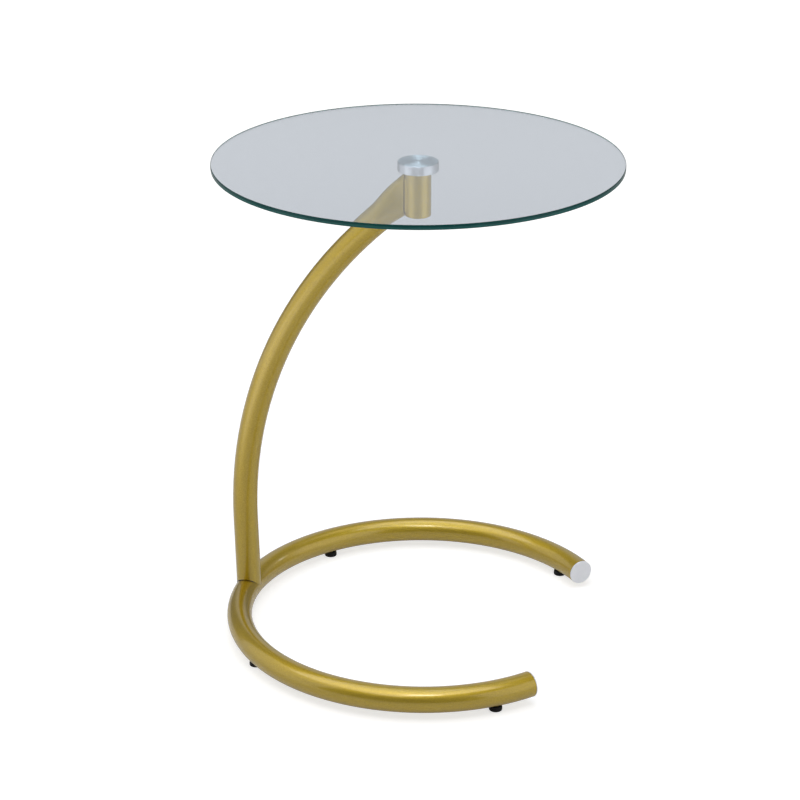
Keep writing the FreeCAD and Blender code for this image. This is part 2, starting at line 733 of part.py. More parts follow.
def make_end_cap(label, angle, outward):
    """Flange as wide as the tube and a plug inside it. outward is the flange's side along -Y."""
    body = new_body(label)
    face = new_sketch(body, "face", "XZ_Plane")
    draw_circle(face, "Sizes.tube_diameter", "Sizes.ring_radius", "Places.ring_height")
    pad(body, face, "Sizes.cap_flange", backwards=not outward)
    plug = new_sketch(body, "plug", "XZ_Plane")
    draw_circle(plug, "(Places.bore_radius - Sizes.cap_plug_clearance) * 2", "Sizes.ring_radius",
                "Places.ring_height")
    whole = pad(body, plug, "Sizes.cap_plug_length", backwards=outward)
    side = -1 if outward else 1
    rim_centre = Vector(number("Sizes.ring_radius"), side * number("Sizes.cap_flange"),
                        number("Places.ring_height"))
    dress_rim(body, whole, "Chamfer", "Sizes.cap_chamfer", number("Places.tube_radius"), rim_centre)
    turn_about_ring(body, angle)


# ---- Levelling feet ----

def make_foot(position, angle):
    """Pad that holds the stud's head, the stud, and the nut welded inside the ring."""
    top = "Sizes.foot_height - Sizes.foot_gap"
    outer = "Sizes.foot_diameter / 2"
    head_bottom = "Sizes.stud_head_floor"
    head_top = f"{head_bottom} + Sizes.stud_head_height"
    head_radius = "Sizes.stud_head_diameter / 2"
    shank_radius = "Sizes.stud_diameter / 2"
    shank_top = f"{top} + Sizes.stud_length"
    gap = "Sizes.thread_clearance"

    pad_body = turned_body(f"foot_pad_{position}", [
        ("0", "0"),
        (outer, "0"),
        (outer, top),
        (f"{shank_radius} + {gap}", top),
        (f"{shank_radius} + {gap}", f"{head_top} + {gap}"),
        (f"{head_radius} + {gap}", f"{head_top} + {gap}"),
        (f"{head_radius} + {gap}", f"{head_bottom} - {gap}"),
        ("0", f"{head_bottom} - {gap}"),
    ])
    dress_rim(pad_body, pad_body.Tip, "Fillet", "Sizes.foot_round", number(outer), Vector(0, 0, 0))
    stud = turned_body(f"foot_stud_{position}", [
        ("0", head_bottom),
        (head_radius, head_bottom),
        (head_radius, head_top),
        (shank_radius, head_top),
        (shank_radius, f"{shank_top} - Sizes.stud_chamfer"),
        (f"{shank_radius} - Sizes.stud_chamfer", shank_top),
        ("0", shank_top),
    ])
    for body in (pad_body, stud):
        move(body, x=f"Sizes.ring_offset + Sizes.ring_radius * cos({angle})",
             y=f"Sizes.ring_radius * sin({angle})")
    label = f"foot_nut_{position}"
    prism = hexagon(f"{label}_prism", "Sizes.foot_nut_corners / 2", "Sizes.foot_nut_height",
                    "Sizes.ring_radius", "0", "Places.ring_floor")
    bore = cylinder(f"{label}_bore", f"{shank_radius} + {gap}", "Sizes.tube_diameter",
                    "Sizes.ring_radius", "0", "Sizes.foot_height")
    nut = boolean("Cut", f"{label}_whole", boolean("Common", f"{label}_seated", prism,
                                                   ring_bore(f"{label}_tube")), bore)
    nut.Label = label
    turn_about_ring(nut, angle)
    nodes.append(nut)


# ---- Export ----

def check_document():
    """Stop if an object failed or a sub-part has no sound shape."""
    doc.recompute()
    for item in doc.Objects:
        if "Invalid" in item.State or "Error" in item.State:
            raise ValueError(f"{item.Label} failed: {item.State}")
    for node in nodes:
        if node.Shape.isNull() or not node.Shape.isValid() or not node.Shape.Solids:
            raise ValueError(f"{node.Label} has no sound shape")


def export_nodes():
    os.makedirs("parts", exist_ok=True)
    for node in nodes:
        node.Shape.exportStep(os.path.join("parts", f"{node.Label}.step"))
        box = node.Shape.BoundBox
        print(f"{node.Label}: {len(node.Shape.Solids)} solid, {node.Shape.Volume:.1f} mm3, "
              f"z {box.ZMin:.2f} to {box.ZMax:.2f}")


write_sheet()
places = write_places()
make_glass()
make_bond()
make_disc()
make_hub_tube()
make_hub_top_plate()
make_washer("hub_flat_washer", "Sizes.flat_washer_diameter", "Sizes.flat_washer_thickness",
            "Places.lock_washer_top")
make_washer("hub_lock_washer", "Sizes.lock_washer_diameter", "Sizes.lock_washer_thickness",
            "Places.hub_bolt_seat", "Sizes.lock_washer_split")
make_hub_bolt()
make_hub_plug()
make_hub_weld("hub_weld_left")
make_hub_weld("hub_weld_right", mirrored=True)
make_arm()
make_end_plate()
make_nut_block()
for joint_position, joint_side in enumerate(SIDES, start=1):
    make_joint_bolt(joint_position, joint_side)
    make_saddle_washer(joint_position, joint_side)
make_ring()
make_end_cap("end_cap_left", "Sizes.mouth_half_angle", outward=True)
make_end_cap("end_cap_right", "360 - Sizes.mouth_half_angle", outward=False)
for foot_position, foot_angle in enumerate(FOOT_ANGLES, start=1):
    make_foot(foot_position, foot_angle)
check_document()
export_nodes()
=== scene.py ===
"""Looks of the C shaped side table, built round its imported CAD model.

Metres, +Z up, in the CAD model's own frame: the origin is on the floor under the hub.
"""
import json
from math import asin, atan2, ceil, cos, pi, radians, sin, sqrt, tan, tau

import bpy
from mathutils import Matrix, Vector

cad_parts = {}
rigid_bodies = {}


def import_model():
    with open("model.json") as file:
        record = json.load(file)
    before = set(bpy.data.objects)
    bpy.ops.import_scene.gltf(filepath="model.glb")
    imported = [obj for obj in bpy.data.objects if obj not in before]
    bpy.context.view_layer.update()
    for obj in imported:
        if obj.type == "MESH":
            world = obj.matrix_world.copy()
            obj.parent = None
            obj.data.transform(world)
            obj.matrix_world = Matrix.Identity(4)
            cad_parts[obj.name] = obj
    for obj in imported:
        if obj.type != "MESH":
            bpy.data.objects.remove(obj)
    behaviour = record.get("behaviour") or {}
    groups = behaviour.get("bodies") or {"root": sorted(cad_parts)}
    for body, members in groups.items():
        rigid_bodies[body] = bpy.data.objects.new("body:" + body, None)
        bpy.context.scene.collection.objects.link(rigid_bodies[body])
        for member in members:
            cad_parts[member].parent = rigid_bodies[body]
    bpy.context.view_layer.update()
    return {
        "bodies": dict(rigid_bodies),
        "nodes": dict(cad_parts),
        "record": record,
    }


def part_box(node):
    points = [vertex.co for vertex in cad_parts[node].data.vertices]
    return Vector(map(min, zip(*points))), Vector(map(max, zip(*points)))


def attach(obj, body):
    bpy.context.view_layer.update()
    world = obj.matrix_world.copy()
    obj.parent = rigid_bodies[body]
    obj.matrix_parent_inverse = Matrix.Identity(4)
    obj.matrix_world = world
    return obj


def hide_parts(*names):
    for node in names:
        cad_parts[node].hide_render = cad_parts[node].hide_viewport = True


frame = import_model()

MM = 0.001

# ---- Camera, from the photograph's viewing angle ----

CAMERA_PLACE = Vector((0.7114, -2.6563, 1.4642))
CAMERA_FORWARD = Vector((-0.2458, 0.8894, -0.3853))
FRAME_PIXELS = 800
FOCAL_PIXELS = 2373.9
SENSOR_WIDTH = 36

# ---- Places and sizes of the CAD model ----

ring_low, ring_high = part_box("base_ring")
glass_low, glass_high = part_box("glass_top")
disc_low, disc_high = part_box("adapter_disc")
bond_low, bond_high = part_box("glass_bond")
hub_low, hub_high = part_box("hub_tube")
plug_low, plug_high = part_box("hub_bottom_plug")
weld_low, weld_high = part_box("hub_weld_left")

TUBE_RADIUS = hub_high.x
TUBE_WALL = 1.5 * MM
RING_RADIUS = ring_high.y - TUBE_RADIUS
RING_CENTRE = Vector((ring_low.x + RING_RADIUS + TUBE_RADIUS, 0, (ring_low.z + ring_high.z) / 2))
MOUTH_HALF_ANGLE = radians(41.65)
CAP_FLANGE = 1.8 * MM
FOOT_POSITIONS = (1, 2, 3, 4)


# ---- Nodes ----

# First of the two mixed inputs and the output, as the Mix node numbers them
MIX_SOCKETS = {"FLOAT": (2, 0), "RGBA": (6, 2)}


class NodeTree:
    """Adds nodes to a tree. Every input takes a number, a colour or another node's output."""

    def __init__(self, tree):
        self.tree = tree

    def set(self, node, socket, value):
        entry = node.inputs[socket]
        if isinstance(value, bpy.types.NodeSocket):
            self.tree.links.new(value, entry)
        elif entry.type == "RGBA":
            entry.default_value = (*value, 1)
        else:
            entry.default_value = value

    def node(self, kind, settings=None, **inputs):
        node = self.tree.nodes.new(kind)
        for key, value in (settings or {}).items():
            setattr(node, key, value)
        for socket, value in inputs.items():
            self.set(node, socket.replace("_", " "), value)
        return node

    def math(self, operation, *values):
        node = self.node("ShaderNodeMath", {"operation": operation})
        for index, value in enumerate(values):
            self.set(node, index, value)
        return node.outputs[0]

    def vector_math(self, operation, *values):
        node = self.node("ShaderNodeVectorMath", {"operation": operation})
        for index, value in enumerate(values):
            self.set(node, index, value)
        return node.outputs["Value" if operation in ("LENGTH", "DOT_PRODUCT") else "Vector"]

    def flat_length(self, vector):
        """Length of a vector's horizontal part."""
        return self.vector_math("LENGTH", self.vector_math("MULTIPLY", vector, (1, 1, 0)))

    def coordinates(self, kind="Object"):
        """The point on the piece in metres, or a direction where the kind is Generated."""
        return self.node("ShaderNodeTexCoord").outputs[kind]

    def height(self, place=None):
        return self.node("ShaderNodeSeparateXYZ", Vector=place or self.coordinates()).outputs["Z"]

    def ramp(self, value, low, high, first, last, blend="LINEAR"):
        """Map low..high of a value to first..last."""
        node = self.node("ShaderNodeMapRange", {"interpolation_type": blend}, Value=value,
                         From_Min=low, From_Max=high, To_Min=first, To_Max=last)
        return node.outputs["Result"]

    def smooth_ramp(self, value, low, high, first, last):
        return self.ramp(value, low, high, first, last, "SMOOTHSTEP")

    def mix(self, share, first, last, kind="RGBA"):
        """Mix two colours, or two numbers where the kind is FLOAT."""
        node = self.node("ShaderNodeMix", {"data_type": kind})
        first_input, output = MIX_SOCKETS[kind]
        for index, value in ((0, share), (first_input, first), (first_input + 1, last)):
            self.set(node, index, value)
        return node.outputs[output]

    def choose(self, share, first, last):
        return self.mix(share, first, last, "FLOAT")


class Material(NodeTree):
    """A Principled material whose inputs can be fed by texture nodes."""

    def __init__(self, name, **values):
        self.material = bpy.data.materials.new(name)
        self.material.use_nodes = True
        super().__init__(self.material.node_tree)
        self.shader = self.tree.nodes["Principled BSDF"]
        self.feed(**values)

    def feed(self, **sockets):
        for socket, value in sockets.items():
            self.set(self.shader, socket.replace("_", " "), value)

    def noise(self, size, detail=2.0, place=None):
        """Noise between 0 and 1 whose blobs are about this size in metres."""
        node = self.node("ShaderNodeTexNoise", Vector=place or self.coordinates(), Scale=1 / size,
                         Detail=detail)
        return node.outputs["Fac"]

    def spread(self, noise, first, last):
        """Map the range in which most of a noise lies to first..last."""
        return self.ramp(noise, 0.3, 0.7, first, last)

    def axis_radius(self):
        """Distance from the piece's own Z axis."""
        return self.flat_length(self.coordinates())

    def rings(self, size, detail=1.0):
        """Noise that changes only with the distance from the axis, as turning leaves it."""
        node = self.node("ShaderNodeTexNoise", {"noise_dimensions": "1D"}, W=self.axis_radius(),
                         Scale=1 / size, Detail=detail)
        return node.outputs["Fac"]

    def bump(self, height, distance, strength):
        node = self.node("ShaderNodeBump", Height=height, Distance=distance, Strength=strength)
        return node.outputs["Normal"]


# ---- Materials ----

def gold_paint(name="gold_paint", seam=False):
    """Flake paint under a satin clear coat. With a seam, it gets a painted shadow where tube meets
    ring.
    """
    paint = Material(name, Metallic=1.0, Coat_Weight=1.0, Coat_Roughness=0.15, Coat_IOR=1.7)
    flakes = paint.node("ShaderNodeTexVoronoi", Vector=paint.coordinates(), Scale=1 / (0.9 * MM))
    colour = paint.mix(flakes.outputs["Color"], (0.41, 0.28, 0.007), (0.54, 0.38, 0.019))
    drift = paint.ramp(paint.noise(40 * MM), 0.35, 0.65, 0.0, 0.25)
    colour = paint.mix(drift, colour, (0.47, 0.335, 0.018))
    if seam:
        # Painted shadow: the paint turns near black in the seam where the arm's foot meets the ring
        colour = paint.mix(seam_shadow(paint), colour, (0.012, 0.007, 0.001))
    paint.feed(Base_Color=colour,
               Roughness=paint.spread(paint.noise(1.2 * MM), 0.44, 0.53),
               Normal=paint.bump(paint.noise(0.5 * MM, 1.0), 0.02 * MM, 0.35),
               Coat_Normal=paint.bump(paint.noise(3.5 * MM, 1.0), 0.012 * MM, 0.4))
    return paint.material


def seam_shadow(paint):
    """Painted shadow: 1 in the seam at the arm's foot, where its surface comes close to the ring's
    tube.

    As in the photograph, it fades towards the inside of the ring."""
    centred = paint.vector_math("SUBTRACT", paint.coordinates(), tuple(RING_CENTRE))
    x, y, z = paint.node("ShaderNodeSeparateXYZ", Vector=centred).outputs
    across = paint.math("SUBTRACT", paint.flat_length(centred), RING_RADIUS)
    from_centre_line = paint.node("ShaderNodeCombineXYZ", X=across, Z=z)
    distance = paint.vector_math("LENGTH", from_centre_line.outputs["Vector"])
    near = paint.ramp(distance, TUBE_RADIUS + 0.9 * MM, TUBE_RADIUS + 1.5 * MM, 1.0, 0.0)
    inward = paint.math("ADD", x, paint.math("MULTIPLY", y, 0.28))
    open_side = paint.ramp(inward, -RING_RADIUS + 6 * MM, -RING_RADIUS + 12 * MM, 1.0, 0.1)
    return paint.math("MULTIPLY", near, open_side)


def clear_glass():
    glass = Material("clear_glass", Base_Color=(0.765, 0.82, 0.895), IOR=1.5,
                     Transmission_Weight=1.0)
    glass.feed(Roughness=glass.ramp(glass.noise(60 * MM, 3.0), 0.55, 0.8, 0.0, 0.02))
    return glass.material


def glass_rim():
    """Polished rim, painted opaque in the green that the glass shows through its depth, with
    painted light and shade: darkest near the top.
    """
    rim = Material("glass_rim", IOR=1.5, Specular_IOR_Level=0.12)
    rise = rim.ramp(rim.height(), glass_low.z, glass_high.z, 0.0, 1.0)
    flattened = rim.node("ShaderNodeMapping", Vector=rim.coordinates(), Scale=(1, 1, 0.05))
    drift = rim.spread(rim.noise(30 * MM, place=flattened.outputs["Vector"]), -0.12, 0.12)
    # Painted light and shade: lighter teal low on the rim, darker teal near the top
    shade = rim.ramp(rim.math("ADD", rise, drift), 0.42, 0.66, 0.0, 1.0)
    rim.feed(Base_Color=rim.mix(shade, (0.022, 0.125, 0.115), (0.003, 0.064, 0.060)),
             Roughness=rim.spread(rim.noise(3 * MM), 0.06, 0.14))
    return rim.material


def turned_aluminium():
    """Turned metal. Its faced top is painted a little bluer and darker than its side, as painted
    shade with the tint of the glass over it.
    """
    metal = Material("turned_aluminium", Metallic=1.0, Anisotropic=0.95, Anisotropic_Rotation=0.25)
    grooves = metal.rings(0.16 * MM)
    bands = metal.rings(2.4 * MM, 2.0)
    top_painted_shade = metal.ramp(metal.height(), disc_high.z - 0.5 * MM, disc_high.z - 0.3 * MM, 0.0, 1.0)
    side = metal.mix(bands, (0.72, 0.74, 0.76), (0.86, 0.88, 0.90))
    # Painted shade: the top's colours are darker and bluer than the side's, for the shade and tint
    # of the glass over it
    top = metal.mix(bands, (0.52, 0.62, 0.64), (0.72, 0.82, 0.83))
    round_axis = metal.node("ShaderNodeTangent", {"direction_type": "RADIAL", "axis": "Z"})
    metal.feed(Base_Color=metal.mix(top_painted_shade, side, top),
               Roughness=metal.spread(grooves, 0.34, 0.44),
               Tangent=round_axis.outputs["Tangent"],
               Normal=metal.bump(grooves, 0.006 * MM, 0.6))
    return metal.material


def silver_cap():
    metal = Material("silver_cap", Metallic=1.0, Anisotropic=0.3)
    grooves = metal.rings(0.25 * MM)
    cloud = metal.noise(5 * MM, 3.0)
    metal.feed(Base_Color=metal.mix(cloud, (0.88, 0.89, 0.93), (0.94, 0.95, 0.98)),
               Roughness=metal.spread(grooves, 0.34, 0.46),
               Normal=metal.bump(grooves, 0.004 * MM, 0.5))
    return metal.material


def black_plastic():
    plastic = Material("black_plastic", IOR=1.46, Specular_IOR_Level=0.25)
    grain = plastic.noise(0.6 * MM)
    plastic.feed(Base_Color=plastic.mix(grain, (0.004, 0.004, 0.005), (0.010, 0.010, 0.012)),
                 Roughness=plastic.spread(grain, 0.38, 0.55),
                 Normal=plastic.bump(grain, 0.03 * MM, 0.4))
    return plastic.material


def zinc_steel():
    metal = Material("zinc_steel", Metallic=1.0)
    cloud = metal.noise(3 * MM, 3.0)
    metal.feed(Base_Color=metal.mix(cloud, (0.55, 0.57, 0.60), (0.70, 0.71, 0.70)),
               Roughness=metal.spread(metal.noise(0.8 * MM), 0.22, 0.4))
    return metal.material


def clear_bond():
    """Cured adhesive film, nearly clear, with a slightly milky edge."""
    bond = Material("clear_bond", Base_Color=(0.72, 0.76, 0.78), IOR=1.45)
    edge = bond.ramp(bond.axis_radius(), 0.93 * bond_high.x, bond_high.x, 0.01, 0.08)
    cloud = bond.ramp(bond.noise(5 * MM), 0.4, 0.7, 0.0, 0.02)
    bond.feed(Alpha=bond.math("ADD", edge, cloud),
              Roughness=bond.spread(bond.noise(6 * MM), 0.1, 0.2))
    return bond.material


FINISHES = {
    "gold_paint": gold_paint(),
    "clear_glass": clear_glass(),
    "clear_bond": clear_bond(),
    "turned_aluminium": turned_aluminium(),
    "silver_cap": silver_cap(),
    "black_plastic": black_plastic(),
    "zinc_steel": zinc_steel(),
}
GLASS_RIM = glass_rim()
GOLD_ARM = gold_paint("gold_paint_seam_shadow", seam=True)


def finish_cad_nodes():
    """Every CAD node gets the finish of its material slot. The arm's has the seam's shadow too."""
    for part in frame["record"]["subparts"]:
        node = part["node"]
        mesh = frame["nodes"][node].data
        mesh.materials.clear()
        mesh.materials.append(GOLD_ARM if node == "arm_tube" else FINISHES[part["material_slot"]])


# ---- Meshes ----

SMOOTH_ANGLE = radians(32)
# A smaller radius than this counts as a point on the axis
ON_AXIS = 1e-7


def add_piece(name, points, faces, slot, body, replaced, matrix=None):
    """Make a smooth-shaded piece that rides on a body and stands for a CAD node."""
    mesh = bpy.data.meshes.new(name)
    mesh.from_pydata([tuple(point) for point in points], [], faces)
    mesh.validate()
    mesh.materials.append(FINISHES[slot])
    mesh.shade_smooth()
    mesh.set_sharp_from_angle(angle=SMOOTH_ANGLE)
    piece = bpy.data.objects.new(name, mesh)
    if matrix:
        piece.matrix_world = matrix
    # Flat faces keep their own normal right up to a softened edge
    normals = piece.modifiers.new("face_normals", "WEIGHTED_NORMAL")
    normals.keep_sharp = True
    bpy.context.scene.collection.objects.link(piece)
    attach(piece, body)
    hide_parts(replaced)
    return piece


def rounded(corners, steps):
    """Outline through (radius, height, rounding) corners, each rounded by an arc of so many steps.

    A corner without a rounding stays sharp."""
    outline = []
    count = len(corners)
    for index, (radius, height, *rounding) in enumerate(corners):
        here = Vector((radius, height))
        if not rounding:
            outline.append(here)
            continue
        before = (Vector(corners[index - 1][:2]) - here).normalized()
        after = (Vector(corners[(index + 1) % count][:2]) - here).normalized()
        half = before.angle(after) / 2
        centre = here + (before + after).normalized() * rounding[0] / sin(half)
        first = here + before * rounding[0] / tan(half) - centre
        last = here + after * rounding[0] / tan(half) - centre
        turn = atan2(first.x * last.y - first.y * last.x, first.dot(last))
        for step in range(steps + 1):
            outline.append(centre + Matrix.Rotation(turn * step / steps, 2) @ first)
    return outline


def circle(radius, height, segments):
    return [(radius * cos(tau * i / segments), radius * sin(tau * i / segments), height)
            for i in range(segments)]


def turned(outline, segments, closed=False):
    """Points and faces of a (radius, height) outline turned about Z. Ends on the axis are poles."""
    points, rows = [], []
    for radius, height in outline:
        if radius < ON_AXIS:
            rows.append([len(points)] * segments)
            points.append((0, 0, height))
        else:
            rows.append(range(len(points), len(points) + segments))
            points += circle(radius, height, segments)
    pairs = list(zip(rows, rows[1:]))
    if closed:
        pairs.append((rows[-1], rows[0]))
    faces = []
    for lower, upper in pairs:
        for i in range(segments):
            j = (i + 1) % segments
            # At a pole two corners are the same point, and the face is a triangle
            face = list(dict.fromkeys((lower[i], lower[j], upper[j], upper[i])))
            if len(face) > 2:
                faces.append(face)
    return points, faces


# ---- Glass, bond and disc ----

GLASS_ARRIS = 0.9 * MM
RIM_DEPTH = 0.55 * MM
BOND_GAP = 0.04 * MM
BOND_ROUND = 0.05 * MM
DISC_CHAMFER = 0.8 * MM
DISC_HOLE_RADIUS = 4.05 * MM
DISC_HOLE_DEPTH = 10 * MM


def make_glass():
    """Pane with small polished arrises. Its rim is a material of its own."""
    radius, bottom, top = glass_high.x, glass_low.z, glass_high.z
    # The flat faces are split into rings, so that none is a long thin triangle
    reaches = [radius * share for share in (0.0, 0.25, 0.5, 0.75)]
    rim = rounded([(0, bottom), (radius, bottom, GLASS_ARRIS), (radius, top, GLASS_ARRIS),
                   (0, top)], 6)
    outline = [(reach, bottom) for reach in reaches] + rim[1:-1]
    outline += [(reach, top) for reach in reversed(reaches)]
    points, faces = turned(outline, 360)
    pane = add_piece("glass_pane", points, faces, "clear_glass", "table", "glass_top")
    pane.data.materials.append(GLASS_RIM)
    for polygon in pane.data.polygons:
        if polygon.center.xy.length > radius - RIM_DEPTH:
            polygon.material_index = 1
    # Clear glass casts next to no shadow
    pane.visible_shadow = False


def make_bond():
    low, high, radius = bond_low.z + BOND_GAP, bond_high.z - BOND_GAP, bond_high.x
    outline = rounded([(0, low), (radius * 0.5, low), (radius, low, BOND_ROUND),
                       (radius, high, BOND_ROUND), (radius * 0.5, high), (0, high)], 3)
    points, faces = turned(outline, 128)
    add_piece("bond_film", points, faces, "clear_bond", "table", "glass_bond")


def make_disc():
    """Turned disc: its top is faced in shallow steps and its edges are chamfered."""
    radius, low, high = disc_high.x, disc_low.z, disc_high.z
    outline = [(0, low + DISC_HOLE_DEPTH), (DISC_HOLE_RADIUS, low + DISC_HOLE_DEPTH),
               (DISC_HOLE_RADIUS, low), (radius - DISC_CHAMFER, low), (radius, low + DISC_CHAMFER),
               (radius, high - DISC_CHAMFER), (radius - DISC_CHAMFER, high)]
    groove_depth, groove_half_width, groove_spacing = 0.03 * MM, 0.2 * MM, 1.7 * MM
    reach = radius - DISC_CHAMFER - 0.6 * MM
    while reach > 1.5 * MM:
        outline += [(reach, high), (reach - groove_half_width, high - groove_depth),
                    (reach - 2 * groove_half_width, high)]
        reach -= groove_spacing
    outline += [(0, high)]
    points, faces = turned(outline, 192)
    add_piece("disc_turned", points, faces, "turned_aluminium", "table", "adapter_disc")


# ---- Hub ----

def make_hub():
    low, high = hub_low.z, hub_high.z
    bore = TUBE_RADIUS - TUBE_WALL
    corners = [(bore, low, 0.3 * MM), (TUBE_RADIUS, low, 0.9 * MM),
               (TUBE_RADIUS, high, 0.4 * MM), (bore, high, 0.3 * MM)]
    points, faces = turned(rounded(corners, 5), 128, closed=True)
    add_piece("hub_sleeve", points, faces, "gold_paint", "table", "hub_tube")


def make_plug():
    """Push-in cup with a shallow dished face."""
    low, high, outer = plug_low.z, plug_high.z, plug_high.x
    wall, dish, softened = 2 * MM, 0.5 * MM, 0.4 * MM
    inner = outer - wall
    corners = [(0, low + dish), (outer * 0.72, low + dish, 1 * MM), (outer * 0.80, low, softened),
               (outer, low, softened), (outer, high, softened), (inner, high, softened),
               (inner, low + wall, 0.6 * MM), (0, low + wall)]
    points, faces = turned(rounded(corners, 4), 96)
    add_piece("hub_plug", points, faces, "black_plastic", "table", "hub_bottom_plug")


# Weld bead between the arm's end plate and the hub. Edges are measured from the plane of symmetry
BEAD_PLATE_EDGE = 6.3 * MM
BEAD_PLATE_END = 4.2 * MM
BEAD_HUB_EDGE = 10.6 * MM
BEAD_HUB_END = 6.2 * MM
BEAD_ROW = 0.22 * MM
BEAD_STEPS = 10
BEAD_RIPPLE = 1.9 * MM
BEAD_UNEVENNESS = 0.35
BEAD_UNEVENNESS_PER_METRE = 900
BEAD_END_LENGTH = 2.5 * MM
BEAD_END_CLOSING = 0.9
BEAD_CROWN = 0.55 * MM
BEAD_RIPPLE_CROWN = 0.35 * MM
BEAD_SUNK_EDGE = 0.25 * MM
BEAD_DRAG = 0.5 * MM
BEAD_SPINE = Vector((-TUBE_RADIUS + 0.15 * MM, 4.6 * MM))


def on_hub(across):
    """Point on the hub's wall at this distance from the plane of symmetry."""
    angle = asin(across / TUBE_RADIUS)
    return Vector((-TUBE_RADIUS * cos(angle), TUBE_RADIUS * sin(angle)))


def on_plate(across):
    return Vector((-TUBE_RADIUS, across))


def bead_row(height, fullness):
    """Cross-section of the bead at a height, as (x, y, height) points from the plate to the hub."""
    closing = BEAD_END_CLOSING * (1 - fullness)
    first = on_plate(BEAD_PLATE_EDGE).lerp(on_plate(BEAD_PLATE_END), closing)
    last = on_hub(BEAD_HUB_EDGE).lerp(on_hub(BEAD_HUB_END), closing)
    uneven = BEAD_UNEVENNESS * sin(height * BEAD_UNEVENNESS_PER_METRE)
    wave = abs(sin(pi * height / BEAD_RIPPLE + uneven))
    crown = (BEAD_CROWN + BEAD_RIPPLE_CROWN * wave) * fullness
    outward = Vector((last.y - first.y, first.x - last.x)).normalized()
    if outward.dot(Vector((-1, 1))) < 0:
        outward = -outward
    row = []
    for step in range(BEAD_STEPS + 1):
        share = step / BEAD_STEPS
        rise = crown * sin(pi * share)
        if step in (0, BEAD_STEPS):
            rise -= BEAD_SUNK_EDGE
        spot = first.lerp(last, share) + outward * rise
        row.append((spot.x, spot.y, height - BEAD_DRAG * sin(pi * share) * fullness))
    return row


def make_weld(name, node, side):
    """Rippled bead that closes in to a point at both ends. side is 1 for +Y."""
    low, high = weld_low.z, weld_high.z
    rows = ceil((high - low) / BEAD_ROW)
    width = BEAD_STEPS + 1
    heights = [low + (high - low) * row / rows for row in range(rows + 1)]
    points = []
    for height in heights:
        to_end = min(1, (height - low) / BEAD_END_LENGTH, (high - height) / BEAD_END_LENGTH)
        points += bead_row(height, sqrt(max(0, 1 - (1 - to_end) ** 2)))
    spine = len(points)
    points += [(BEAD_SPINE.x, BEAD_SPINE.y, height) for height in heights]
    faces = []
    for row in range(rows):
        a, b = row * width, (row + 1) * width
        faces += [[a + step, a + step + 1, b + step + 1, b + step] for step in range(BEAD_STEPS)]
        # Back of the bead, inside the groove
        faces += [[a, b, spine + row + 1, spine + row],
                  [b + BEAD_STEPS, a + BEAD_STEPS, spine + row, spine + row + 1]]
    bottom = [*range(width), spine]
    top = [*range(rows * width, rows * width + width), spine + rows]
    faces += [bottom[::-1], top]
    points = [(x, side * y, z) for x, y, z in points]
    if side > 0:
        faces = [face[::-1] for face in faces]
    add_piece(name, points, faces, "gold_paint", "table", node)


# ---- End caps ----

def make_cap(name, node, side):
    """Silver cap with a softened rim and a faint dish, at this side of the ring's mouth."""
    rim, plug, depth = TUBE_RADIUS, TUBE_RADIUS - TUBE_WALL - 0.4 * MM, 10 * MM
    neck, inner, web = plug - 0.4 * MM, plug - 1.6 * MM, -0.5 * MM
    # A shadow gap keeps the flange off the tube's end
    gap = 0.4 * MM
    corners = [(0, CAP_FLANGE - 0.12 * MM), (rim * 0.62, CAP_FLANGE - 0.06 * MM, 2 * MM),
               (rim * 0.93, CAP_FLANGE, 0.3 * MM), (rim, CAP_FLANGE, 0.75 * MM),
               (rim, gap, 0.1 * MM), (neck, gap), (neck, 0), (plug, 0), (plug, -depth, 0.6 * MM),
               (inner, -depth, 0.4 * MM), (inner, web, 0.5 * MM), (0, web)]
    points, faces = turned(rounded(corners, 6), 128)
    angle = side * MOUTH_HALF_ANGLE
    across = Vector((cos(angle), sin(angle), 0))
    outward = Vector((sin(angle), -cos(angle), 0)) * side
    matrix = Matrix((across, outward.cross(across), outward)).transposed().to_4x4()
    matrix.translation = RING_CENTRE + across * RING_RADIUS
    add_piece(name, points, [face[::-1] for face in faces], "silver_cap", "table", node, matrix)


# ---- Levelling feet ----

STUD_RADIUS = 4 * MM
STUD_TOP_CHAMFER = 1 * MM
STUD_TOP_NARROWING = 0.9 * MM
HEAD_RADIUS = 5.5 * MM
HEAD_HEIGHT = 2.6 * MM
HEAD_PLAY = 0.05 * MM
HEAD_FLOOR = 2 * MM
THREAD_PITCH = 1.25 * MM
THREAD_DEPTH = 0.68 * MM
THREAD_SLOPE = 2.5
THREAD_FLAT_ROOT = 0.1
THREAD_SEGMENTS = 48
THREAD_STEPS = 10


def make_foot_pad(position):
    """Moulding with a rounded sole, a shallow recess below and a softened top edge."""
    low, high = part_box(f"foot_pad_{position}")
    centre = (low + high) / 2
    radius, height = (high.x - low.x) / 2, high.z - low.z
    neck, recess = radius - 0.35 * MM, 0.7 * MM
    stud, head = STUD_RADIUS + HEAD_PLAY, HEAD_RADIUS + HEAD_PLAY
    head_low, head_high = HEAD_FLOOR - HEAD_PLAY, HEAD_FLOOR + HEAD_HEIGHT + HEAD_PLAY
    corners = [(0, recess), (radius * 0.55, recess, 0.5 * MM), (radius * 0.62, 0, 0.35 * MM),
               (radius, 0, 1.4 * MM), (radius, height * 0.62, 0.3 * MM),
               (neck, height * 0.68, 0.2 * MM), (neck, height, 0.7 * MM), (stud, height, 0.2 * MM),
               (stud, head_high), (head, head_high), (head, head_low), (0, head_low)]
    points, faces = turned(rounded(corners, 5), 72)
    add_piece(f"foot_{position}_moulding", points, faces, "black_plastic", f"foot_{position}_pad",
              f"foot_pad_{position}", Matrix.Translation((centre.x, centre.y, low.z)))


